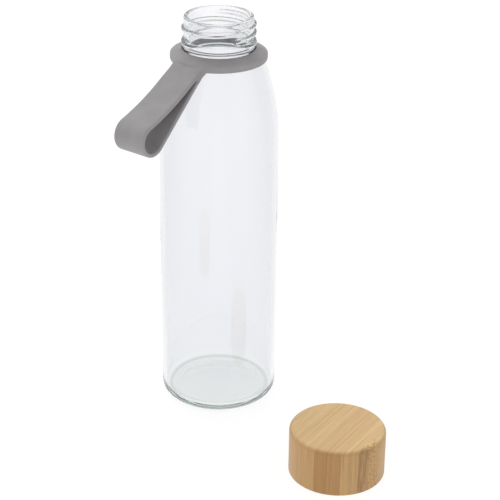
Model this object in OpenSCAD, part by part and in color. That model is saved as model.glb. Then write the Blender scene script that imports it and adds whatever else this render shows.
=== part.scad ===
// Glass water bottle with a silicone carrying strap and a bamboo screw lid.
// Millimetres, +Z up. The origin is the centre of the bottle's foot, on the surface that it stands on.
// The strap's loop points along -X. The lid is off and lies beside the bottle, its open side down.

/* [Glass body] */
// Outside diameter of the straight body
body_d = 65; // [58:1:90]
// Height of the straight body, from the foot to where the shoulder begins
body_h = 157; // [110:1:240]
// Height of the shoulder, from the body to the collar's seat
shoulder_h = 43; // [30:1:70]
// Width of the seat for the collar at the shoulder's top, outside the groove
seat_w = 4.85; // [4:0.05:7]
// Thickness of the glass wall
wall = 2.2; // [1.6:0.1:3]
// Thickness of the glass floor
floor_t = 4.1; // [3:0.1:8]
// Radius of the heel between the foot and the body
heel_r = 6.4; // [5:0.1:9]
// Width of the flat ring that the bottle stands on
foot_w = 3.6; // [2:0.1:6]
// How far the middle of the foot is pushed up
pushup_h = 3; // [1:0.1:6]

/* [Neck finish] */
// Diameter of the neck between its threads
neck_d = 37.3; // [30:0.1:45]
// Thickness of the neck's wall
neck_wall = 2.65; // [2:0.05:4]
// Height of the thread above the neck's wall
thread_depth = 1.25; // [0.8:0.05:1.5]
// How far the groove that holds the collar stands out from the neck's wall
groove_step = 0.55; // [0.2:0.05:1]
// Height of the groove's straight wall
groove_h = 3.3; // [2:0.1:5]
// How far the bead above the groove stands out from the neck's wall
bead_step = 1.45; // [1.3:0.05:2.2]
// Radius of the bead's section
bead_r = 2.3; // [1.5:0.1:2.6]
// Height from the bottom of the bead to the rim
finish_h = 16.6; // [16:0.1:22]
// Radius of the rim's two edges
lip_r = 1.2; // [0.4:0.1:1.2]
// Rise of the thread in one turn
thread_pitch = 4.23; // [3.5:0.01:5]
// Number of turns of the thread
thread_turns = 1.45; // [1:0.05:1.6]
// Depth of the thread's start below the rim
thread_start = 9.6; // [8:0.1:10]
// Direction of the thread's start, seen from above
thread_angle = -115; // [-180:5:180]

/* [Silicone strap] */
// How far the collar stands out beyond its seat
collar_overhang = 1.95; // [1:0.05:4]
// Height of the collar's upright edge
collar_edge = 4; // [3:0.1:4.6]
// Radius of the collar edge's two corners
collar_corner = 0.9; // [0.4:0.1:1.4]
// Width of the strap
strap_w = 20; // [14:1:28]
// Thickness of the strap
strap_t = 2.2; // [1.6:0.1:2.6]
// Thickness of the strap's root, where its two ends meet
root_d = 5.4; // [5:0.1:8]
// Diameter of the strap's round end
loop_d = 17.6; // [14:0.1:26]
// Distance from the root to the middle of the round end
loop_len = 41.3; // [32:0.1:60]
// Slope of the loop below the horizontal
loop_tilt = 34.2; // [20:0.1:45]
// Radius of the hollow bend along the loop's upper limb
loop_bow_r = 130; // [90:1:400]
// How far the root lies below the middle of the collar's edge
root_drop = 4.2; // [2:0.1:4.5]

/* [Bamboo lid] */
// Height of the lid
lid_h = 26.6; // [24:0.1:36]
// Thickness of the bamboo around the insert
lid_wall = 3.95; // [2.5:0.05:8]
// Radius of the lid's top edge
lid_top_r = 2.5; // [0.5:0.1:3]
// Radius of the lid's bottom edge
lid_bottom_r = 1; // [0.3:0.1:1.5]
// Depth from the lid's bottom edge to the seal's face
seal_depth = 16.9; // [15:0.1:20]
// Thickness of the seal
seal_t = 1.7; // [1:0.1:2.5]
// Width of the seal's ring
seal_w = 5.6; // [4:0.1:8]
// Thickness of the insert's wall at its mouth
insert_wall = 1.1; // [0.8:0.05:2]
// Thickness of the insert's ceiling
insert_roof = 1.6; // [1:0.1:2.5]
// Number of turns of the insert's thread
insert_turns = 1.4; // [1:0.05:1.6]
// Where the lid lies: distance from the bottle's axis
lid_distance = 108.7; // [95:0.1:160]
// Where the lid lies: direction from the bottle's axis
lid_angle = -105; // [-140:1:-60]

/* [Fits] */
// Gap between the collar and the glass
collar_gap = 0.2; // [0.15:0.05:0.4]
// Gap between the loop's root and the collar, and the least gap between the root and the glass
root_gap = 0.4; // [0.3:0.05:0.8]
// Gap between the insert's thread and the neck, on the radius
thread_gap = 0.45; // [0.3:0.05:0.8]
// Gap between the insert's mouth and the bead, on the radius
bead_gap = 0.5; // [0.3:0.05:0.8]
// Glue gap between the insert and the bamboo
glue_gap = 0.05; // [0.02:0.01:0.2]
// Gap around the loose seal
seal_gap = 0.2; // [0.1:0.05:0.4]

/* [Hidden] */
$fn = 96;

GLASS = [0.86, 0.92, 0.90, 0.4];
SILICONE = [0.58, 0.57, 0.57];
BAMBOO = [0.81, 0.66, 0.46];
PLASTIC = [0.93, 0.92, 0.89];
RUBBER = [0.96, 0.96, 0.95];

body_r = body_d / 2;
neck_r = neck_d / 2;
mouth_r = neck_r - neck_wall;
thread_r = neck_r + thread_depth;
groove_r = neck_r + groove_step;
bead_edge_r = neck_r + bead_step;
seat_r = groove_r + seat_w;

// The shoulder is one arc that leaves the body upright and ends at the collar's seat.
shoulder_in = body_r - seat_r;
shoulder_r = (pow(shoulder_h, 2) + pow(shoulder_in, 2)) / (2 * shoulder_in);
shoulder_a = asin(shoulder_h / shoulder_r);
shoulder_c = [body_r - shoulder_r, body_h];

// Above the seat the glass turns inward on a tight arc, then runs up into the neck on a fillet.
turn_r = 4;
turn_a = 65;
turn_c = shoulder_c + (shoulder_r - turn_r) * [cos(shoulder_a), sin(shoulder_a)];
fillet_r = 1.5;
groove_z = neck_top_z(0, groove_r);
bead_z = groove_z + groove_h + bead_r;
rim_z = groove_z + groove_h + finish_h;
foot_r = body_r - heel_r;
corner_r = 3.5;
body_inner_r = body_r - wall;

// The collar's upright edge starts level with its seat, and its lip fills the groove.
collar_r = seat_r + collar_overhang;
collar_lift = 0.45;
collar_foot_z = body_h + shoulder_h + collar_lift;
collar_mid_z = collar_foot_z + collar_edge / 2;
collar_corner_x = collar_r - collar_corner;
collar_under_a = -100;
collar_seat_a = 2;
collar_top_gap = 0.4;
collar_top_z = groove_z + groove_h - collar_top_gap;
collar_top_w = 0.7;

// The loop hinges on a round root just outside the collar's edge, and clear of the shoulder.
root_r = root_d / 2;
root_z = collar_mid_z - root_drop;
shoulder_reach = shoulder_r + root_gap + root_r;
root_clear_x = shoulder_c[0] + sqrt(pow(shoulder_reach, 2) - pow(root_z - body_h, 2));
root_x = max(collar_r + root_gap + root_r, root_clear_x);
loop_end_r = loop_d / 2;
root_web = 1.4;
gap_start = root_r + root_web;

// The insert clears the neck by the thread gap, and the lid is built outwards from it.
insert_crest_r = neck_r + thread_gap;
insert_bore_r = thread_r + thread_gap;
insert_mouth_r = bead_edge_r + bead_gap;
insert_mouth_play = 1.5;
insert_mouth_h = seal_depth - finish_h + 2 * bead_r + insert_mouth_play;
insert_r = insert_mouth_r + insert_wall;
insert_foot = 0.6;
// Seated, the insert's thread runs half a pitch below the neck's, and starts this far round from it.
insert_lag = 120;
insert_thread_z = seal_depth - thread_start - thread_pitch / 2 + thread_pitch * insert_lag / 360;
seal_roof_z = seal_depth + seal_t + seal_gap / 2;
insert_top_z = seal_roof_z + insert_roof;
pocket_r = insert_r + glue_gap;
pocket_top_z = insert_top_z + glue_gap;
lid_r = pocket_r + lid_wall;
lid_pos = lid_distance * [cos(lid_angle), sin(lid_angle)];

// Thread ridges have this width at the wall and at the crest, and run out over this angle. Their
// root is sunk in the wall, and so is the crest where a ridge ends.
ridge_root_w = 3.0;
ridge_crest_w = 1.1;
ridge_sink = 0.5;
ridge_end_sink = 0.2;
ridge_fade = 40;
ridge_steps = 40;

// Points on an arc about c, from angle a0 to a1.
function arc(c, r, a0, a1, n = 12) =
    [for (i = [0:n]) c + r * [cos(a0 + (a1 - a0) * i / n), sin(a0 + (a1 - a0) * i / n)]];

// Height at which the curve that runs out from the turn, set out by off, becomes an upright wall at r.
function neck_top_z(off, r) =
    let (start = turn_c + (turn_r + off) * [cos(turn_a), sin(turn_a)],
         blend_r = fillet_r - off,
         blend_in = start[0] - r - blend_r * (1 - cos(turn_a)))
    start[1] + blend_in / tan(turn_a) + blend_r * sin(turn_a);

// The turn and the fillet, set out from the glass by off, ending upright at radius r.
function neck_curve(off, r, from_a) =
    concat(arc(turn_c, turn_r + off, from_a, turn_a, 8),
           arc([r + fillet_r - off, neck_top_z(off, r)], fillet_r - off, 180 + turn_a, 180, 6));

function reversed(list) = [for (i = [len(list) - 1:-1:0]) list[i]];

// Half-section of the bottle: up the outside, over the rim and down the inside.
function glass_outside() =
    let (dome_w = foot_r - foot_w,
         dome_r = (pow(dome_w, 2) + pow(pushup_h, 2)) / (2 * pushup_h),
         dome_a = asin(dome_w / dome_r),
         bead_c = [bead_edge_r - bead_r, bead_z])
    concat(arc([0, pushup_h - dome_r], dome_r, 90, 90 - dome_a, 10),
           arc([foot_r, heel_r], heel_r, -90, 0, 10),
           arc(shoulder_c, shoulder_r, 0, shoulder_a, 20),
           neck_curve(0, groove_r, shoulder_a),
           arc(bead_c, bead_r, -acos((groove_r - bead_c[0]) / bead_r), acos((neck_r - bead_c[0]) / bead_r), 12),
           arc([neck_r - lip_r, rim_z - lip_r], lip_r, 0, 90, 6));

function glass_inside() =
    let (floor_w = body_inner_r - corner_r,
         dome_r = (pow(floor_w, 2) + pow(pushup_h, 2)) / (2 * pushup_h),
         dome_a = asin(floor_w / dome_r))
    concat(arc([0, pushup_h + floor_t - dome_r], dome_r, 90, 90 - dome_a, 10),
           arc([floor_w, floor_t + corner_r], corner_r, -90, 0, 6),
           arc(shoulder_c, shoulder_r - wall, 0, shoulder_a, 20),
           neck_curve(-wall, mouth_r, shoulder_a),
           arc([mouth_r + lip_r, rim_z - lip_r], lip_r, 180, 90, 6));

// A right-handed helical ridge on a round wall. It stands out where crest_r is more than wall_r,
// and in where it is less.
module ridge(wall_r, crest_r, z0, turns, a0) {
    side = sign(crest_r - wall_r);
    steps = ceil(turns * ridge_steps);
    function swell(t) = min(1, t * turns * 360 / ridge_fade, (1 - t) * turns * 360 / ridge_fade);
    function section(i) =
        let (t = i / steps,
             a = a0 + t * turns * 360,
             z = z0 + t * turns * thread_pitch,
             low_r = wall_r - side * ridge_sink,
             end_r = wall_r - side * ridge_end_sink,
             top_r = end_r + (crest_r - end_r) * swell(t))
        [for (p = [[low_r, -ridge_root_w / 2], [top_r, -ridge_crest_w / 2],
                   [top_r, ridge_crest_w / 2], [low_r, ridge_root_w / 2]])
            [p[0] * cos(a), p[0] * sin(a), z + side * p[1]]];
    points = [for (i = [0:steps]) each section(i)];
    walls = [for (i = [0:steps - 1], k = [0:3])
        let (a = 4 * i + k, b = 4 * i + (k + 1) % 4)
        each [[a, b, b + 4], [a, b + 4, a + 4]]];
    ends = [[3, 2, 1], [3, 1, 0], [4 * steps, 4 * steps + 1, 4 * steps + 2], [4 * steps, 4 * steps + 2, 4 * steps + 3]];
    polyhedron(points, concat(walls, ends));
}

module glass_bottle() {
    color(GLASS) union() {
        rotate_extrude() polygon(concat(glass_outside(), reversed(glass_inside())));
        ridge(neck_r, thread_r, rim_z - thread_start, thread_turns, thread_angle);
    }
}

module strap_collar() {
    bore_r = groove_r + collar_gap;
    lip_top = [bore_r + collar_top_w, collar_top_z];
    upper_c = [collar_corner_x, collar_foot_z + collar_edge - collar_corner];
    lower_c = [collar_corner_x, collar_foot_z + collar_corner];
    to_lip = lip_top - upper_c;
    tangent_a = atan2(to_lip[1], to_lip[0]) - acos(collar_corner / norm(to_lip));
    outside = concat(arc(upper_c, collar_corner, tangent_a, 0, 8), arc(lower_c, collar_corner, 0, collar_under_a, 10));
    seat = neck_curve(collar_gap, bore_r, shoulder_a + collar_seat_a);
    color(SILICONE) rotate_extrude()
        polygon(concat([[bore_r, collar_top_z], lip_top], outside, seat));
}

// An outline round a circle of radius r1 at the origin and one of radius r2 at len along +X, with a
// straight limb below and one above that bends in on the radius bow_r. It has no corner.
function loop_outline(r1, r2, len, bow_r) =
    let (flare = asin((r2 - r1) / len),
         reach1 = bow_r + r1,
         reach2 = bow_r + r2,
         bow_a = acos((pow(len, 2) + pow(reach1, 2) - pow(reach2, 2)) / (2 * len * reach1)),
         bow_c = reach1 * [cos(bow_a), sin(bow_a)],
         far = [len, 0],
         to_bow = bow_c - far,
         far_a = atan2(to_bow[1], to_bow[0]))
    concat(arc(far, r2, -90 - flare, far_a, 24),
           arc(bow_c, bow_r, far_a - 180, bow_a - 180, 16),
           arc([0, 0], r1, bow_a, 270 - flare, 12));

// The finger gap starts past the root, and is a strap's thickness inside the loop all round.
module loop_gap() {
    intersection() {
        polygon(loop_outline(root_r - strap_t, loop_end_r - strap_t, loop_len, loop_bow_r + strap_t));
        translate([gap_start, -loop_end_r]) square([loop_len + loop_end_r, 2 * loop_end_r]);
    }
}

module strap_loop() {
    color(SILICONE) translate([-root_x, 0, root_z]) rotate([90, 0, 180]) rotate([0, 0, -loop_tilt])
        linear_extrude(strap_w, center = true) difference() {
            polygon(loop_outline(root_r, loop_end_r, loop_len, loop_bow_r));
            loop_gap();
        }
}

module bamboo_lid() {
    color(BAMBOO) translate(lid_pos) difference() {
        rotate_extrude() polygon(concat([[0, 0]],
            arc([lid_r - lid_bottom_r, lid_bottom_r], lid_bottom_r, -90, 0, 8),
            arc([lid_r - lid_top_r, lid_h - lid_top_r], lid_top_r, 0, 90, 12),
            [[0, lid_h]]));
        translate([0, 0, -1]) cylinder(h = pocket_top_z + 1, r = pocket_r);
    }
}

module thread_insert() {
    color(PLASTIC) translate(lid_pos) union() {
        difference() {
            translate([0, 0, insert_foot]) cylinder(h = insert_top_z - insert_foot, r = insert_r);
            cylinder(h = seal_roof_z, r = insert_bore_r);
            cylinder(h = insert_mouth_h, r = insert_mouth_r);
        }
        ridge(insert_bore_r, insert_crest_r, insert_thread_z, insert_turns, thread_angle + insert_lag);
    }
}

module lid_seal() {
    seal_r = insert_bore_r - seal_gap;
    color(RUBBER) translate([lid_pos[0], lid_pos[1], seal_depth]) difference() {
        cylinder(h = seal_t, r = seal_r);
        translate([0, 0, -1]) cylinder(h = seal_t + 2, r = seal_r - seal_w);
    }
}

glass_bottle();
strap_collar();
strap_loop();
bamboo_lid();
thread_insert();
lid_seal();
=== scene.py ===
import math

import bpy
import numpy as np
from mathutils import Matrix, Vector


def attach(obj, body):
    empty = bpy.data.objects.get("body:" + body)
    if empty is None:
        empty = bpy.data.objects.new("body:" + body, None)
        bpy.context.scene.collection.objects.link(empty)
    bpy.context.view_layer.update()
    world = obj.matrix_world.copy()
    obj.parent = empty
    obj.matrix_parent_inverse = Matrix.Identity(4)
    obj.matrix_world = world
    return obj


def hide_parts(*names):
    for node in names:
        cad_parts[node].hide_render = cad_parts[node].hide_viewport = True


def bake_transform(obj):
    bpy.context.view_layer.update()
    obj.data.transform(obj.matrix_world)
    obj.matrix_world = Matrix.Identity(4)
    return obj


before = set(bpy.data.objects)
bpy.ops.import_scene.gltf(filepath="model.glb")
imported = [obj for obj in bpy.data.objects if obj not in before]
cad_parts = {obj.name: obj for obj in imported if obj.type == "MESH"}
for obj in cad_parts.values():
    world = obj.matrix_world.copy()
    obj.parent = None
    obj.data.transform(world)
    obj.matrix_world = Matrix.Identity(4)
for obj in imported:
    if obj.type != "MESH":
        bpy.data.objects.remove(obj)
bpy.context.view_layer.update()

# All lengths below are millimetres in the CAD's frame, and MM turns them into metres.
MM = 0.001

# The glass
BODY_R = 32.5
BODY_H = 157.0
WALL = 2.2
FLOOR_T = 4.1
HEEL_R = 6.4
FOOT_W = 3.6
PUSHUP_H = 3.0
INNER_CORNER_R = 3.5
SHOULDER_R = 113.6303
SHOULDER_A = 22.2365
TURN_R = 4.0
TURN_A = 65.0
FILLET_R = 1.5
GROOVE_R = 19.2
GROOVE_H = 3.3
NECK_R = 18.65
MOUTH_R = 16.0
BEAD_R = 2.3
BEAD_EDGE_R = 20.1
FINISH_H = 16.6
LIP_R = 1.2
THREAD_DEPTH = 1.25
THREAD_PITCH = 4.23
THREAD_TURNS = 1.45
THREAD_START = 9.6
THREAD_ANGLE = -115.0
THREAD_FADE = 40.0
THREAD_ROOT_W = 3.0
THREAD_CREST_W = 0.9

# Painted shade: the glass's colour is darkened on the ring where its floor meets the wall. The glass is
# also a little greener in its floor.
CREASE_R = 27.6
CREASE_PAINTED_SHADE = (0.58, 0.61, 0.605, 1)
FLOOR_TONE = (0.925, 0.95, 0.935, 1)

# The strap
COLLAR_BORE_R = 19.4
COLLAR_TOP = (20.1, 206.79)
COLLAR_R = 26.0
COLLAR_CORNER_Z = 204.5
COLLAR_CONE_A = 26.6
COLLAR_CORNER_R = 0.9
COLLAR_UNDER_Z = 200.45
COLLAR_GAP = 0.2
STRAP_W = 20.1
STRAP_T = 2.24
STRAP_EDGE_R = 0.95
ROOT_FILLET_R = 2.6
ROOT_FROM = 23.6
ROOT_TO = 28.01
ROOT_UNDER = (23.4, 199.7)
ROOT_UNDER_TOP = 200.5
LOOP_END = (63.18, 174.84)
LOOP_END_R = 8.82
LOOP_TOP_START = (24.9, 204.4)
LOOP_END_SLOPE = 17.5
LOOP_UNDER_SLOPE = 42.9
LOOP_UNDER_LEN = 43.4
CROWN_END = 36.0
CROWN_FADE = 10.0

# The lid
LID_AT = (-28.1336, -104.9960)
LID_R = 25.65
LID_H = 26.6
LID_TOP_R = 2.5
LID_BOTTOM_R = 1.0
POCKET_R = 21.7
POCKET_TOP = 20.35
INSERT_R = 21.65
INSERT_BORE_R = 20.35
INSERT_MOUTH_R = 20.6
INSERT_MOUTH_H = 6.4
INSERT_FOOT = 0.6
INSERT_TOP = 20.3
INSERT_THREAD_Z = 6.6
INSERT_THREAD_ANGLE = 5.0
INSERT_THREAD_TURNS = 1.4
SEAL_Z = 16.9
SEAL_T = 1.7
SEAL_R = 20.15
SEAL_HOLE_R = 14.55


def arc(c, r, a0, a1, n):
    """Points on an arc about c, from angle a0 to a1 in degrees."""
    a = np.radians(np.linspace(a0, a1, n + 1))
    return [(c[0] + r * math.cos(t), c[1] + r * math.sin(t)) for t in a]


def refine(points, step):
    """Cuts long parts of a profile into pieces of at most step."""
    out = [points[0]]
    for (x0, z0), (x1, z1) in zip(points, points[1:]):
        n = max(1, math.ceil(math.hypot(x1 - x0, z1 - z0) / step))
        out += [(x0 + (x1 - x0) * i / n, z0 + (z1 - z0) * i / n) for i in range(1, n + 1)]
    return [p for i, p in enumerate(out) if i == 0 or math.dist(p, out[i - 1]) > 1e-6]


def mesh_object(name, verts, faces, at=(0, 0)):
    """A smooth mesh from corners in millimetres, moved to at in the XY plane."""
    mesh = bpy.data.meshes.new(name)
    placed = (np.asarray(verts, float) + np.array([at[0], at[1], 0.0])) * MM
    mesh.from_pydata(placed.tolist(), [], faces)
    mesh.update()
    mesh.shade_smooth()
    obj = bpy.data.objects.new(name, mesh)
    bpy.context.scene.collection.objects.link(obj)
    return obj


def lathe(name, profile, segments, shift=None, ring=False, at=(0, 0)):
    """A body of revolution. The profile starts and ends on the axis, or closes on itself if it is a ring.
    shift(angle, r, z) gives how far each point moves outwards."""
    inner = profile if ring else profile[1:-1]
    r = np.array([p[0] for p in inner])[:, None]
    z = np.array([p[1] for p in inner])[:, None]
    a = np.linspace(0, 2 * math.pi, segments, endpoint=False)[None, :]
    radius = r + (shift(a, r, z) if shift else 0 * a)
    grid = np.stack([radius * np.cos(a), radius * np.sin(a), z + 0 * a], -1)
    verts = grid.reshape(-1, 3).tolist()
    rows = len(inner)
    faces = []
    for i in range(rows if ring else rows - 1):
        j = (i + 1) % rows
        for k in range(segments):
            m = (k + 1) % segments
            faces.append((i * segments + k, i * segments + m, j * segments + m, j * segments + k))
    if not ring:
        for pole, row, flip in ((profile[0], 0, True), (profile[-1], rows - 1, False)):
            verts.append((0.0, 0.0, pole[1]))
            tip = len(verts) - 1
            for k in range(segments):
                m = (k + 1) % segments
                pair = (row * segments + k, row * segments + m)
                faces.append((pair[1], pair[0], tip) if flip else (pair[0], pair[1], tip))
    return mesh_object(name, verts, faces, at)


def helix_ridge(a, z, start_z, start_a, turns):
    """From 0 on the wall to 1 on the crest of a right-handed thread."""
    height = np.zeros(np.broadcast(a, z).shape)
    turn = np.degrees(a) - start_a
    for k in range(-1, 3):
        phi = turn + 360.0 * k
        centre = start_z + phi / 360.0 * THREAD_PITCH
        side = (THREAD_ROOT_W / 2 - np.abs(z - centre)) / (THREAD_ROOT_W - THREAD_CREST_W) * 2
        side = np.clip(side, 0, 1)
        ends = np.clip(np.minimum(phi, turns * 360.0 - phi) / THREAD_FADE, 0, 1)
        shape = side * side * (3 - 2 * side) * np.sin(ends * math.pi / 2)
        height = np.maximum(height, shape)
    return height


def neck_top_z(off, r):
    """Height at which the fillet out of the turn, set out by off, becomes an upright wall at r."""
    a = math.radians(TURN_A)
    c = turn_centre()
    start = (c[0] + (TURN_R + off) * math.cos(a), c[1] + (TURN_R + off) * math.sin(a))
    blend_r = FILLET_R - off
    run_in = start[0] - r - blend_r * (1 - math.cos(a))
    return start[1] + run_in / math.tan(a) + blend_r * math.sin(a)


def turn_centre():
    """Centre of the tight arc at the shoulder's top."""
    a = math.radians(SHOULDER_A)
    reach = SHOULDER_R - TURN_R
    return (BODY_R - SHOULDER_R + reach * math.cos(a), BODY_H + reach * math.sin(a))


def neck_curve(off, r, from_a):
    """The turn and the fillet, set out from the glass by off, ending upright at radius r."""
    c = turn_centre()
    top = (r + FILLET_R - off, neck_top_z(off, r))
    return arc(c, TURN_R + off, from_a, TURN_A, 12) + arc(top, FILLET_R - off, 180 + TURN_A, 180, 10)


def rim_height():
    return neck_top_z(0, GROOVE_R) + GROOVE_H + FINISH_H


def bead_middle():
    """Centre of the bead's section."""
    return (BEAD_EDGE_R - BEAD_R, neck_top_z(0, GROOVE_R) + GROOVE_H + BEAD_R)


def bead_top():
    """Height at which the bead's upper side meets the neck."""
    r, z = bead_middle()
    return z + math.sqrt(BEAD_R ** 2 - (NECK_R - r) ** 2)


def dome(width, base_z, n):
    """The pushed-up middle of the foot, from the axis outwards."""
    r = (width ** 2 + PUSHUP_H ** 2) / (2 * PUSHUP_H)
    a = math.degrees(math.asin(width / r))
    return arc((0, base_z + PUSHUP_H - r), r, 90, 90 - a, n)


def glass_profile():
    """The bottle's outside and inside, each from the axis to the middle of the rim."""
    foot_r = BODY_R - HEEL_R
    rim = rim_height()
    bead_c = bead_middle()
    low = -math.degrees(math.acos((GROOVE_R - bead_c[0]) / BEAD_R))
    high = math.degrees(math.acos((NECK_R - bead_c[0]) / BEAD_R))
    shoulder_c = (BODY_R - SHOULDER_R, BODY_H)
    outside = (dome(foot_r - FOOT_W, 0, 24)
               + arc((foot_r, HEEL_R), HEEL_R, -90, 0, 28)
               + arc(shoulder_c, SHOULDER_R, 0, SHOULDER_A, 40)
               + neck_curve(0, GROOVE_R, SHOULDER_A)
               + arc(bead_c, BEAD_R, low, high, 20)
               + refine([(NECK_R, bead_top() + 0.1), (NECK_R, rim - LIP_R)], 0.16)
               + arc((NECK_R - LIP_R, rim - LIP_R), LIP_R, 0, 90, 10))
    floor_w = BODY_R - WALL - INNER_CORNER_R
    inside = (dome(floor_w, FLOOR_T, 24)
              + arc((floor_w, FLOOR_T + INNER_CORNER_R), INNER_CORNER_R, -90, 0, 16)
              + arc(shoulder_c, SHOULDER_R - WALL, 0, SHOULDER_A, 40)
              + neck_curve(-WALL, MOUTH_R, SHOULDER_A)
              + arc((MOUTH_R + LIP_R, rim - LIP_R), LIP_R, 180, 90, 10))
    return refine(outside, 1.6), refine(inside, 1.6)


def glass_shift(outside_rows):
    """The thread on the neck, and the slight waves of a blown wall."""
    start = rim_height() - THREAD_START

    def shift(a, r, z):
        ridge = helix_ridge(a, z, start, THREAD_ANGLE, THREAD_TURNS) * THREAD_DEPTH
        wave = 0.035 * np.sin(2 * a + z / 31) + 0.02 * np.sin(5 * a - z / 17 + 1.3)
        wave = wave * np.clip((z - 12) / 15, 0, 1) * np.clip((195 - z) / 15, 0, 1)
        ridge[outside_rows:, :] = 0
        wave[:outside_rows, :] *= 0.3
        return ridge * (z > bead_top()) + wave

    return shift


def build_glass():
    outside, inside = glass_profile()
    profile = outside + inside[::-1][1:]
    glass = lathe("glass_body", profile, 384, glass_shift(len(outside) - 1))
    glass.data.materials.append(glass_material())
    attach(glass, "bottle")
    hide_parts("glass_bottle")
    return glass


def collar_mesh():
    """The ring that sits on the shoulder's top, with its lip in the neck's groove."""
    corner = COLLAR_CORNER_R
    middle = COLLAR_R - corner
    cone = 90 - COLLAR_CONE_A
    outside = (arc((middle, COLLAR_CORNER_Z - corner), corner, cone, 0, 10)
               + arc((middle, COLLAR_UNDER_Z + corner), corner, 0, -100, 12))
    seat = neck_curve(COLLAR_GAP, COLLAR_BORE_R, SHOULDER_A + 2)
    bevel = 0.3
    top = [(COLLAR_BORE_R, COLLAR_TOP[1] - bevel), (COLLAR_BORE_R + bevel, COLLAR_TOP[1]), COLLAR_TOP]
    profile = refine(top + outside + seat, 0.5)
    return lathe("strap", profile, 320, ring=True)


def band_path():
    """Middle line of the loop as (distance from the axis, height), from the collar round and back."""
    half = STRAP_T / 2
    mid_r = LOOP_END_R - half
    end_a = 90 - LOOP_END_SLOPE
    end = (LOOP_END[0] + LOOP_END_R * math.cos(math.radians(end_a)),
           LOOP_END[1] + LOOP_END_R * math.sin(math.radians(end_a)))
    chord = (end[0] - LOOP_TOP_START[0], end[1] - LOOP_TOP_START[1])
    fall = -math.degrees(math.atan2(chord[1], chord[0]))
    bend = fall - LOOP_END_SLOPE
    bow_r = math.hypot(*chord) / 2 / math.sin(math.radians(bend))
    bow_c = (end[0] + bow_r * math.cos(math.radians(end_a)),
             end[1] + bow_r * math.sin(math.radians(end_a)))
    upper = arc(bow_c, bow_r + half, 270 - LOOP_END_SLOPE - 2 * bend, 270 - LOOP_END_SLOPE, 40)
    cone = math.radians(COLLAR_CONE_A)
    lead = [(upper[0][0] - back * math.cos(cone), upper[0][1] + back * math.sin(cone) - 0.05)
            for back in (3.6, 1.8)]
    turn = arc(LOOP_END, mid_r, end_a, -90 - LOOP_UNDER_SLOPE, 48)
    under = math.radians(LOOP_UNDER_SLOPE)
    tail = (turn[-1][0] - LOOP_UNDER_LEN * math.cos(under), turn[-1][1] + LOOP_UNDER_LEN * math.sin(under))
    return refine(lead + upper + turn[1:] + [tail], 0.8)


def crown(reach, y):
    """How far the strap's upper side drops towards its edges, to run out of the collar's cone."""
    fade = np.clip((CROWN_END - reach) / CROWN_FADE, 0, 1)
    fade = fade * fade * (3 - 2 * fade)
    return fade * (math.hypot(reach, y) - abs(reach)) * math.tan(math.radians(COLLAR_CONE_A))


def root_width(reach):
    """Half the strap's width at that distance from the axis, with the fillets into the collar."""
    wide = STRAP_W / 2
    fillet = ROOT_FILLET_R
    centre = math.sqrt((COLLAR_R + fillet) ** 2 - (wide + fillet) ** 2)
    inside = min(fillet * 0.93, max(0.0, centre - reach))
    return wide + fillet - math.sqrt(fillet ** 2 - inside ** 2)


def rounded_section(wide, corner):
    """The four rounded corners of a section, in order, as (y, side, inset): side is 1 on the upper face
    and -1 on the lower, and inset is how far in from that face the point lies."""
    points = []
    for sy, side, order in ((1, 1, 1), (-1, 1, -1), (-1, -1, 1), (1, -1, -1)):
        for t in list(range(0, 91, 15))[::order]:
            turn = math.radians(t)
            y = sy * (wide - corner + corner * math.cos(turn))
            points.append((y, side, corner - corner * math.sin(turn)))
    return points


def band_mesh():
    """The loop's band with rounded edges, swept along its middle line."""
    path = np.array(band_path())
    along = np.gradient(path, axis=0)
    along /= np.linalg.norm(along, axis=1)[:, None]
    normal = np.stack([-along[:, 1], along[:, 0]], 1)
    far = int(np.argmax(path[:, 0]))
    rings = []
    for i, (p, n) in enumerate(zip(path, normal)):
        ring = []
        for y, side, inset in rounded_section(root_width(p[0]), STRAP_EDGE_R):
            off = side * (STRAP_T / 2 - inset)
            reach = p[0] + n[0] * off
            drop = crown(reach, y) if i < far else 0
            ring.append((-reach, y, p[1] + n[1] * off - drop))
        rings.append(ring)
    return sections_object("band", rings)


def root_mesh():
    """The solid block where the strap's two limbs run into the collar."""
    path = np.array(band_path())
    upper = path[:int(np.argmax(path[:, 0]))]
    fall = math.tan(math.radians(LOOP_UNDER_SLOPE))
    near = 0.3
    rings = []
    for reach in np.arange(ROOT_FROM, ROOT_TO, 0.2):
        before, middle, after = np.interp([reach - near, reach, reach + near], upper[:, 0], upper[:, 1])
        top = middle + STRAP_T / 2 * math.hypot(1, (after - before) / (2 * near))
        under = min(ROOT_UNDER_TOP, ROOT_UNDER[1] - fall * (reach - ROOT_UNDER[0]))
        ring = []
        for y, side, inset in rounded_section(root_width(reach), STRAP_EDGE_R):
            height = top - inset - crown(reach, y) if side > 0 else under + inset
            ring.append((-reach, y, height))
        rings.append(ring)
    return sections_object("root", rings)


def sections_object(name, rings):
    """A closed body through a row of like sections."""
    count = len(rings[0])
    verts = [v for ring in rings for v in ring]
    faces = []
    for i in range(len(rings) - 1):
        for k in range(count):
            m = (k + 1) % count
            faces.append((i * count + k, i * count + m, (i + 1) * count + m, (i + 1) * count + k))
    faces += [tuple(range(count))[::-1], tuple((len(rings) - 1) * count + k for k in range(count))]
    return mesh_object(name, verts, faces)


def apply_modifiers(obj):
    """Replaces the object's mesh by what its modifiers make of it."""
    dg = bpy.context.evaluated_depsgraph_get()
    mesh = bpy.data.meshes.new_from_object(obj.evaluated_get(dg))
    obj.modifiers.clear()
    obj.data = mesh
    obj.data.shade_smooth()


def join(target, other):
    """Adds the other object's mesh to the target."""
    with bpy.context.temp_override(active_object=target, selected_editable_objects=[target, other]):
        bpy.ops.object.join()


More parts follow.
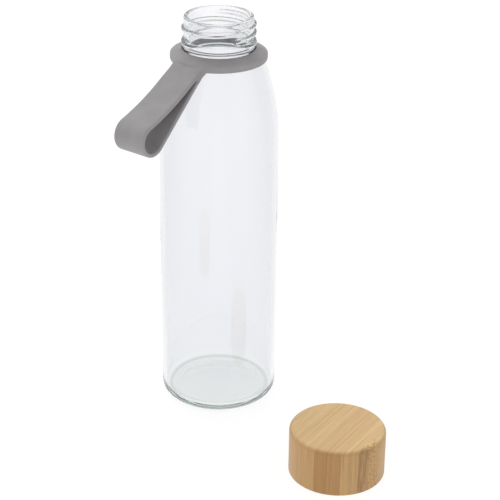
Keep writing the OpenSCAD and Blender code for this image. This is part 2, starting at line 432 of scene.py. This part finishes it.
def build_strap():
    """Collar, loop and root joined as one skin, remeshed and smoothed where they meet."""
    strap = collar_mesh()
    join(strap, band_mesh())
    join(strap, root_mesh())
    remesh = strap.modifiers.new("remesh", "REMESH")
    remesh.mode = "VOXEL"
    remesh.voxel_size = 0.34 * MM
    smooth = strap.modifiers.new("smooth", "SMOOTH")
    smooth.factor = 0.5
    smooth.iterations = 8
    apply_modifiers(strap)
    strap.data.materials.clear()
    strap.data.materials.append(silicone_material())
    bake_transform(strap)
    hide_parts("strap_collar", "strap_loop")
    return strap


def build_lid_wood():
    """The bamboo cap, its open side down, with the pocket for the insert."""
    outside = (arc((LID_R - LID_BOTTOM_R, LID_BOTTOM_R), LID_BOTTOM_R, -90, 0, 10)
               + arc((LID_R - LID_TOP_R, LID_H - LID_TOP_R), LID_TOP_R, 0, 90, 16))
    edge = 0.4
    mouth = arc((POCKET_R + edge, edge), edge, 180, 270, 6)
    profile = refine([(0, POCKET_TOP), (POCKET_R, POCKET_TOP)] + mouth + outside + [(0, LID_H)], 1.2)
    wood = lathe("lid_wood", profile, 256, at=LID_AT)
    wood.data.materials.append(bamboo_material())
    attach(wood, "lid")
    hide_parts("bamboo_lid")
    return wood


def build_insert():
    """The plastic liner glued into the wood, with the lid's thread."""
    edge = 0.35
    roof = SEAL_Z + SEAL_T + 0.1
    corner = 0.6
    bore = [(0, roof), (INSERT_BORE_R - corner, roof)]
    bore += arc((INSERT_BORE_R - corner, roof - corner), corner, 90, 0, 5)
    step = [(INSERT_BORE_R, INSERT_MOUTH_H + 0.4), (INSERT_MOUTH_R, INSERT_MOUTH_H)]
    mouth = arc((INSERT_MOUTH_R + edge, INSERT_FOOT + edge), edge, 180, 270, 6)
    outside = arc((INSERT_R - edge, INSERT_FOOT + edge), edge, -90, 0, 6)
    profile = refine(bore + step + mouth + outside + [(INSERT_R, INSERT_TOP), (0, INSERT_TOP)], 0.25)

    def shift(a, r, z):
        ridge = helix_ridge(a, z, INSERT_THREAD_Z, INSERT_THREAD_ANGLE, INSERT_THREAD_TURNS) * THREAD_DEPTH
        return -ridge * (np.abs(r - INSERT_BORE_R) < 0.05)

    insert = lathe("lid_insert", profile, 256, shift, at=LID_AT)
    insert.data.materials.append(plastic_material())
    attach(insert, "lid")
    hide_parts("thread_insert")
    return insert


def build_seal():
    """The flat ring under the insert's ceiling."""
    edge = 0.3
    low = SEAL_Z + edge
    high = SEAL_Z + SEAL_T - edge
    outer = SEAL_R - edge
    hole = SEAL_HOLE_R + edge
    corners = (((outer, low), -90), ((outer, high), 0), ((hole, high), 90), ((hole, low), 180))
    profile = refine([p for c, a in corners for p in arc(c, edge, a, a + 90, 5)], 0.5)
    seal = lathe("lid_seal_ring", profile, 192, ring=True, at=LID_AT)
    seal.data.materials.append(seal_material())
    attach(seal, "seal")
    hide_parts("lid_seal")
    return seal


def material(name):
    """A new material with a Principled shader, as (material, its tree, shader, output)."""
    mat = bpy.data.materials.new(name)
    mat.use_nodes = True
    tree = mat.node_tree
    tree.nodes.clear()
    out = tree.nodes.new("ShaderNodeOutputMaterial")
    bsdf = tree.nodes.new("ShaderNodeBsdfPrincipled")
    tree.links.new(bsdf.outputs[0], out.inputs["Surface"])
    return mat, tree, bsdf, out


def put(tree, socket, value):
    """Sets a socket to a value, or links it to an output."""
    if isinstance(value, bpy.types.NodeSocket):
        tree.links.new(value, socket)
    else:
        socket.default_value = value


def node(tree, kind, inputs=(), **settings):
    """A new node with these settings and inputs."""
    n = tree.nodes.new(kind)
    for key, value in settings.items():
        setattr(n, key, value)
    for key, value in dict(inputs).items():
        put(tree, n.inputs[key], value)
    return n


def calc(tree, operation, a, b=0.0, c=0.0):
    return node(tree, "ShaderNodeMath", {0: a, 1: b, 2: c}, operation=operation).outputs[0]


def mix(tree, share, a, b):
    """Colour a where share is 0 and b where it is 1."""
    n = node(tree, "ShaderNodeMix", {"Factor": share}, data_type="RGBA")
    put(tree, n.inputs[6], a)
    put(tree, n.inputs[7], b)
    return n.outputs[2]


def vector(tree, operation, a, b):
    return node(tree, "ShaderNodeVectorMath", {0: a, 1: b}, operation=operation).outputs[0]


def object_mm(tree, turn=0.0, scale=(1, 1, 1), centre=(0, 0, 0)):
    """Object coordinates in millimetres, moved to centre, turned about Z and then scaled."""
    coords = node(tree, "ShaderNodeTexCoord").outputs["Object"]
    shifted = vector(tree, "SUBTRACT", coords, [c * MM for c in centre])
    turned = node(tree, "ShaderNodeVectorRotate", {"Vector": shifted, "Angle": math.radians(-turn)},
                  rotation_type="Z_AXIS").outputs[0]
    return vector(tree, "MULTIPLY", turned, [s / MM for s in scale])


def axis_distance(tree, where):
    """Distance from the Z axis through the point where the coordinates are zero."""
    flat = vector(tree, "MULTIPLY", where, (1, 1, 0))
    return node(tree, "ShaderNodeVectorMath", {0: flat}, operation="LENGTH").outputs["Value"]


def noise(tree, where, scale, detail, roughness=0.5):
    inputs = {"Vector": where, "Scale": scale, "Detail": detail, "Roughness": roughness}
    return node(tree, "ShaderNodeTexNoise", inputs).outputs["Fac"]


def bump(tree, height, distance, strength):
    inputs = {"Height": height, "Distance": distance * MM, "Strength": strength}
    return node(tree, "ShaderNodeBump", inputs).outputs[0]


def ramp(tree, factor, low, high, out_low=0.0, out_high=1.0):
    """Runs from out_low where factor is low to out_high where it is high, and no further."""
    n = node(tree, "ShaderNodeMapRange", {"Value": factor, "From Min": low, "From Max": high,
                                          "To Min": out_low, "To Max": out_high})
    return n.outputs[0]


def glass_material():
    """Clear glass: a faint tint that weakens upwards and drifts a little, and a greenish body."""
    mat, tree, bsdf, out = material("bottle_glass")
    where = object_mm(tree)
    clouds = noise(tree, where, 0.02, 1.0)
    height = node(tree, "ShaderNodeSeparateXYZ", {0: where}).outputs["Z"]
    # Painted shade: the colour darkens on a ring where the inside floor meets the wall.
    from_crease = calc(tree, "ABSOLUTE", calc(tree, "SUBTRACT", axis_distance(tree, where), CREASE_R))
    ring = ramp(tree, from_crease, 0.3, 1.7, 1.0, 0.0)
    inside = calc(tree, "MULTIPLY", ramp(tree, height, 3.2, 3.8), ramp(tree, height, 6.0, 7.5, 1.0, 0.0))
    ring = calc(tree, "MULTIPLY", ring, inside)
    rise = calc(tree, "MULTIPLY_ADD", clouds, 0.3, ramp(tree, height, 0.0, 190.0, -0.15, 0.85))
    body = mix(tree, rise, (0.896, 0.900, 0.921, 1), (0.926, 0.927, 0.946, 1))
    body = mix(tree, ramp(tree, height, 5.0, 9.0, 1.0, 0.0), body, FLOOR_TONE)
    put(tree, bsdf.inputs["Base Color"], mix(tree, ring, body, CREASE_PAINTED_SHADE))
    bsdf.inputs["Transmission Weight"].default_value = 1.0
    bsdf.inputs["IOR"].default_value = 1.5
    bsdf.inputs["Specular IOR Level"].default_value = 0.3
    bsdf.inputs["Roughness"].default_value = 0.0
    ripple = noise(tree, where, 0.06, 2.0)
    put(tree, bsdf.inputs["Normal"], bump(tree, ripple, 0.1, 0.25))
    body_tint = {"Color": (0.66, 0.73, 0.715, 1), "Density": 12.0}
    absorb = node(tree, "ShaderNodeVolumeAbsorption", body_tint)
    tree.links.new(absorb.outputs[0], out.inputs["Volume"])
    return mat


def silicone_material():
    """Matte warm grey silicone with a fine moulded grain."""
    mat, tree, bsdf, out = material("strap_silicone")
    where = object_mm(tree)
    fine = noise(tree, where, 3.2, 3.0)
    broad = noise(tree, where, 0.12, 2.0)
    tone = calc(tree, "MULTIPLY_ADD", broad, 0.7, calc(tree, "MULTIPLY", fine, 0.3))
    grey = mix(tree, ramp(tree, tone, 0.35, 0.65), (0.312, 0.302, 0.307, 1), (0.348, 0.336, 0.341, 1))
    put(tree, bsdf.inputs["Base Color"], grey)
    put(tree, bsdf.inputs["Roughness"], ramp(tree, fine, 0.3, 0.7, 0.52, 0.66))
    bsdf.inputs["Specular IOR Level"].default_value = 0.35
    put(tree, bsdf.inputs["Normal"], bump(tree, fine, 0.02, 0.6))
    return mat


# The bamboo's strips run at this angle to the CAD's X axis, and are counted across it from the middle.
STRIP_TURN = 6.1
STRIP_W = 6.7
BROWN_STRIPS = -1.5
KNOT_STRIP = -4.0
PALE_BAMBOO = (0.84, 0.585, 0.290, 1)
ROSY_BAMBOO = (0.75, 0.490, 0.235, 1)
MID_BAMBOO = (0.64, 0.405, 0.170, 1)
DARK_BAMBOO = (0.36, 0.190, 0.068, 1)
BURNT_BAMBOO = (0.33, 0.175, 0.068, 1)
KNOT_DARK = (0.38, 0.21, 0.085, 1)
KNOT_PALE = (0.82, 0.545, 0.235, 1)
# Painted shade: these multiply the lid's upright side darker than its top, and shift it warmer.
SIDE_SHADE_PALE = (0.70, 0.62, 0.52, 1)
SIDE_SHADE_BROWN = (0.585, 0.465, 0.325, 1)


def strip_coords(tree, scale=(1, 1, 1)):
    """The lid's millimetres, with X along its strips."""
    return object_mm(tree, turn=STRIP_TURN, scale=scale, centre=(LID_AT[0], LID_AT[1], 0))


def knot_tones(tree, body, where, in_strip):
    """One strip had a joint of the stem: it is scorched in lines up to there, then speckled."""
    x = node(tree, "ShaderNodeSeparateXYZ", {0: where}).outputs["X"]
    lines = noise(tree, strip_coords(tree, (2.6, 0.4, 0.12)), 1.0, 2.0)
    burnt = calc(tree, "MULTIPLY", in_strip, ramp(tree, x, -9.6, -8.6, 1.0, 0.0))
    burnt = calc(tree, "MULTIPLY", burnt, ramp(tree, lines, 0.38, 0.62, 0.1, 0.62))
    body = mix(tree, burnt, body, BURNT_BAMBOO)
    knot = calc(tree, "MULTIPLY", ramp(tree, x, -9.4, -8.6), ramp(tree, x, -3.6, 0.6, 1.0, 0.0))
    cells = {"Vector": where, "Scale": 0.75}
    pores = node(tree, "ShaderNodeTexVoronoi", cells, feature="F1").outputs["Distance"]
    speckle = mix(tree, ramp(tree, pores, 0.15, 0.5), KNOT_DARK, KNOT_PALE)
    return mix(tree, calc(tree, "MULTIPLY", calc(tree, "MULTIPLY", knot, in_strip), 0.85), body, speckle)


def bamboo_material():
    """Strips glued side by side: the tone changes almost only across them, so lines run along the top and
    down the side."""
    mat, tree, bsdf, out = material("lid_bamboo")
    where = strip_coords(tree)
    y = node(tree, "ShaderNodeSeparateXYZ", {0: where}).outputs["Y"]
    wander = noise(tree, where, 0.05, 1.0)
    shifted = calc(tree, "MULTIPLY_ADD", wander, 1.0, calc(tree, "ADD", y, 0.3))
    across = calc(tree, "DIVIDE", shifted, STRIP_W)
    index = calc(tree, "FLOOR", across)
    part = calc(tree, "FRACT", across)
    chance = node(tree, "ShaderNodeTexWhiteNoise", {"W": calc(tree, "ADD", index, 0.5)},
                  noise_dimensions="1D").outputs["Value"]
    browner = calc(tree, "COMPARE", index, BROWN_STRIPS, 0.6)
    own = calc(tree, "MULTIPLY_ADD", chance, 0.38, calc(tree, "MULTIPLY", browner, 0.6))
    offset = node(tree, "ShaderNodeCombineXYZ", {0: calc(tree, "MULTIPLY", own, 90.0)}).outputs[0]

    def grain(scale, detail):
        return noise(tree, vector(tree, "ADD", strip_coords(tree, scale), offset), 1.0, detail, 0.6)

    fine = grain((0.022, 2.3, 0.06), 3.0)
    middle = grain((0.012, 0.62, 0.02), 2.0)
    speck = grain((0.12, 2.4, 2.4), 2.0)
    body = mix(tree, own, PALE_BAMBOO, ROSY_BAMBOO)
    body = mix(tree, ramp(tree, middle, 0.42, 0.68, 0.0, 0.6), body, MID_BAMBOO)
    body = mix(tree, ramp(tree, fine, 0.55, 0.75, 0.0, 0.3), body, DARK_BAMBOO)
    body = mix(tree, ramp(tree, speck, 0.56, 0.72, 0.0, 0.18), body, DARK_BAMBOO)
    seam = ramp(tree, calc(tree, "ABSOLUTE", calc(tree, "SUBTRACT", part, 0.5)), 0.475, 0.497)
    seam = calc(tree, "MULTIPLY", seam, ramp(tree, own, 0.2, 1.0, 0.1, 0.55))
    body = mix(tree, seam, body, DARK_BAMBOO)
    body = knot_tones(tree, body, where, calc(tree, "COMPARE", index, KNOT_STRIP, 0.5))
    # Painted shade on the lid's side: the colour is multiplied darker towards the outside of the rim.
    painted_side_shade = ramp(tree, axis_distance(tree, where), LID_R - 1.6, LID_R - 0.1)
    side = node(tree, "ShaderNodeMix", {"Factor": painted_side_shade}, data_type="RGBA", blend_type="MULTIPLY")
    put(tree, side.inputs[6], body)
    put(tree, side.inputs[7], mix(tree, own, SIDE_SHADE_PALE, SIDE_SHADE_BROWN))
    put(tree, bsdf.inputs["Base Color"], side.outputs[2])
    bsdf.inputs["Specular IOR Level"].default_value = 0.5
    put(tree, bsdf.inputs["Roughness"], ramp(tree, fine, 0.3, 0.7, 0.38, 0.5))
    put(tree, bsdf.inputs["Normal"], bump(tree, fine, 0.03, 0.5))
    return mat


def plastic_material():
    """Off-white moulded plastic."""
    mat, tree, bsdf, out = material("insert_plastic")
    speck = noise(tree, object_mm(tree), 0.8, 3.0)
    share = ramp(tree, speck, 0.35, 0.65)
    put(tree, bsdf.inputs["Base Color"], mix(tree, share, (0.80, 0.79, 0.755, 1), (0.84, 0.83, 0.80, 1)))
    put(tree, bsdf.inputs["Roughness"], ramp(tree, speck, 0.35, 0.65, 0.36, 0.46))
    bsdf.inputs["Subsurface Weight"].default_value = 0.15
    bsdf.inputs["Subsurface Radius"].default_value = (0.002, 0.002, 0.0015)
    put(tree, bsdf.inputs["Normal"], bump(tree, speck, 0.015, 0.5))
    return mat


def seal_material():
    """Translucent white silicone, seen as matte off-white."""
    mat, tree, bsdf, out = material("seal_silicone")
    fine = noise(tree, object_mm(tree), 2.4, 3.0)
    share = ramp(tree, fine, 0.35, 0.65)
    put(tree, bsdf.inputs["Base Color"], mix(tree, share, (0.78, 0.78, 0.76, 1), (0.83, 0.83, 0.815, 1)))
    put(tree, bsdf.inputs["Roughness"], ramp(tree, fine, 0.35, 0.65, 0.5, 0.62))
    put(tree, bsdf.inputs["Normal"], bump(tree, fine, 0.02, 0.5))
    return mat


# The studio. The table glows less to the left and right of the bottle, which only the glass and what
# stands on the table see: it draws the glass's edges.
FLOOR_GLOW = 0.90
SURROUND_GLOW = 0.81
SHEET_HALF_W = 30.0
SHEET_EDGE_W = 60.0
FLOOR_SIZE = 8000.0
FLOOR_DROP = 0.05
FLOOR_ALBEDO = 0.16
WORLD_BEHIND = 0.88
WORLD_FRONT = 0.50
KEY_POWER = 5.5
FILL_POWER = 1.0
# These two, and the places of the lights, are in metres.
SOFTBOX_SIZE = 0.8
SOFTBOX_AIM = (0, 0, 0.15)


def floor_material():
    """A lit white table: it glows, takes a faint shadow, and is clear from below."""
    mat, tree, bsdf, out = material("floor")
    tree.nodes.remove(bsdf)
    across = node(tree, "ShaderNodeSeparateXYZ", {0: object_mm(tree, turn=CAMERA_BEARING)}).outputs["X"]
    sideways = calc(tree, "ABSOLUTE", across)
    strength = ramp(tree, sideways, SHEET_HALF_W, SHEET_HALF_W + SHEET_EDGE_W, FLOOR_GLOW, SURROUND_GLOW)
    seen = node(tree, "ShaderNodeLightPath").outputs["Is Camera Ray"]
    strength = calc(tree, "MAXIMUM", strength, calc(tree, "MULTIPLY", seen, FLOOR_GLOW))
    glow = node(tree, "ShaderNodeEmission", {"Color": (1, 1, 1, 1), "Strength": strength})
    matt = node(tree, "ShaderNodeBsdfDiffuse", {"Color": (FLOOR_ALBEDO,) * 3 + (1,)})
    both = node(tree, "ShaderNodeAddShader", {0: glow.outputs[0], 1: matt.outputs[0]})
    back = node(tree, "ShaderNodeNewGeometry").outputs["Backfacing"]
    clear = node(tree, "ShaderNodeBsdfTransparent")
    surface = node(tree, "ShaderNodeMixShader", {0: back, 1: both.outputs[0], 2: clear.outputs[0]})
    tree.links.new(surface.outputs[0], out.inputs["Surface"])
    return mat


def build_floor():
    """The table, a hair under the foot so that the two faces don't lie in one plane."""
    corners = ((-1, -1), (1, -1), (1, 1), (-1, 1))
    verts = [(x * FLOOR_SIZE, y * FLOOR_SIZE, -FLOOR_DROP) for x, y in corners]
    floor = mesh_object("floor", verts, [(0, 1, 2, 3)])
    floor.data.materials.append(floor_material())
    return floor


def seen_from_camera(x, y, z):
    """Turns a direction or place that is right, away and up as the camera sees it into the CAD's frame."""
    return Matrix.Rotation(math.radians(CAMERA_BEARING), 4, "Z") @ Vector((x, y, z))


def build_world():
    """A white room that is dimmer on the side where the camera stands."""
    world = bpy.data.worlds.new("studio")
    world.use_nodes = True
    bpy.context.scene.world = world
    tree = world.node_tree
    direction = node(tree, "ShaderNodeTexCoord").outputs["Generated"]
    dim = seen_from_camera(0.1, -0.62, 0.78)
    front = node(tree, "ShaderNodeVectorMath", {0: direction, 1: dim}, operation="DOT_PRODUCT")
    light = ramp(tree, front.outputs["Value"], 0.55, 0.95, WORLD_BEHIND, WORLD_FRONT)
    seen = node(tree, "ShaderNodeLightPath").outputs["Is Camera Ray"]
    light = calc(tree, "MAXIMUM", light, seen)
    background = tree.nodes["Background"]
    background.inputs["Color"].default_value = (1, 1, 1, 1)
    tree.links.new(light, background.inputs["Strength"])


def softbox(name, at, power):
    """A square light that faces the bottle, and lights matte surfaces only: the room gives the glints."""
    light = bpy.data.lights.new(name, "AREA")
    light.shape = "RECTANGLE"
    light.size = SOFTBOX_SIZE
    light.size_y = SOFTBOX_SIZE
    light.energy = power
    obj = bpy.data.objects.new(name, light)
    obj.location = at
    obj.rotation_mode = "QUATERNION"
    obj.rotation_quaternion = (Vector(SOFTBOX_AIM) - Vector(at)).to_track_quat("-Z", "Y")
    obj.visible_glossy = False
    obj.visible_transmission = False
    bpy.context.scene.collection.objects.link(obj)
    return obj


def build_lights():
    softbox("overhead", seen_from_camera(-0.2, 0.6, 1.2), KEY_POWER)
    softbox("fill", seen_from_camera(-0.7, -1.1, 0.25), FILL_POWER)


# The camera, as it stands to the bottle: seen from above its yaw, pitch and roll are small turns about
# the line from the lens to the axis.
CAMERA_DISTANCE = 796.86
CAMERA_HEIGHT = 470.96
CAMERA_YAW = 1.26
CAMERA_PITCH = 25.694
CAMERA_ROLL = 0.578
CAMERA_BEARING = -50.36
CAMERA_LENS = 113.366


def build_camera():
    yaw, pitch, roll = (math.radians(a) for a in (CAMERA_YAW, CAMERA_PITCH, CAMERA_ROLL))
    ahead = Vector((math.sin(yaw) * math.cos(pitch), math.cos(yaw) * math.cos(pitch), -math.sin(pitch)))
    level = Vector((math.cos(yaw), -math.sin(yaw), 0))
    up = level.cross(ahead)
    right = math.cos(roll) * level + math.sin(roll) * up
    top = -math.sin(roll) * level + math.cos(roll) * up
    axes = Matrix((right, top, -ahead)).transposed().to_4x4()
    turn = Matrix.Rotation(math.radians(CAMERA_BEARING), 4, "Z")
    data = bpy.data.cameras.new("camera")
    data.sensor_width = 36
    data.lens = CAMERA_LENS
    data.clip_start, data.clip_end = 0.01, 50
    camera = bpy.data.objects.new("camera", data)
    place = Matrix.Translation(Vector((0, -CAMERA_DISTANCE, CAMERA_HEIGHT)) * MM)
    camera.matrix_world = turn @ place @ axes
    bpy.context.scene.collection.objects.link(camera)
    bpy.context.scene.camera = camera


def set_look():
    scene = bpy.context.scene
    scene.view_settings.view_transform = "Standard"
    scene.cycles.max_bounces = 96
    scene.cycles.transmission_bounces = 96
    scene.cycles.glossy_bounces = 96
    scene.cycles.transparent_max_bounces = 24


build_camera()
set_look()
build_floor()
build_world()
build_lights()
build_glass()
build_strap()
build_lid_wood()
build_insert()
build_seal()
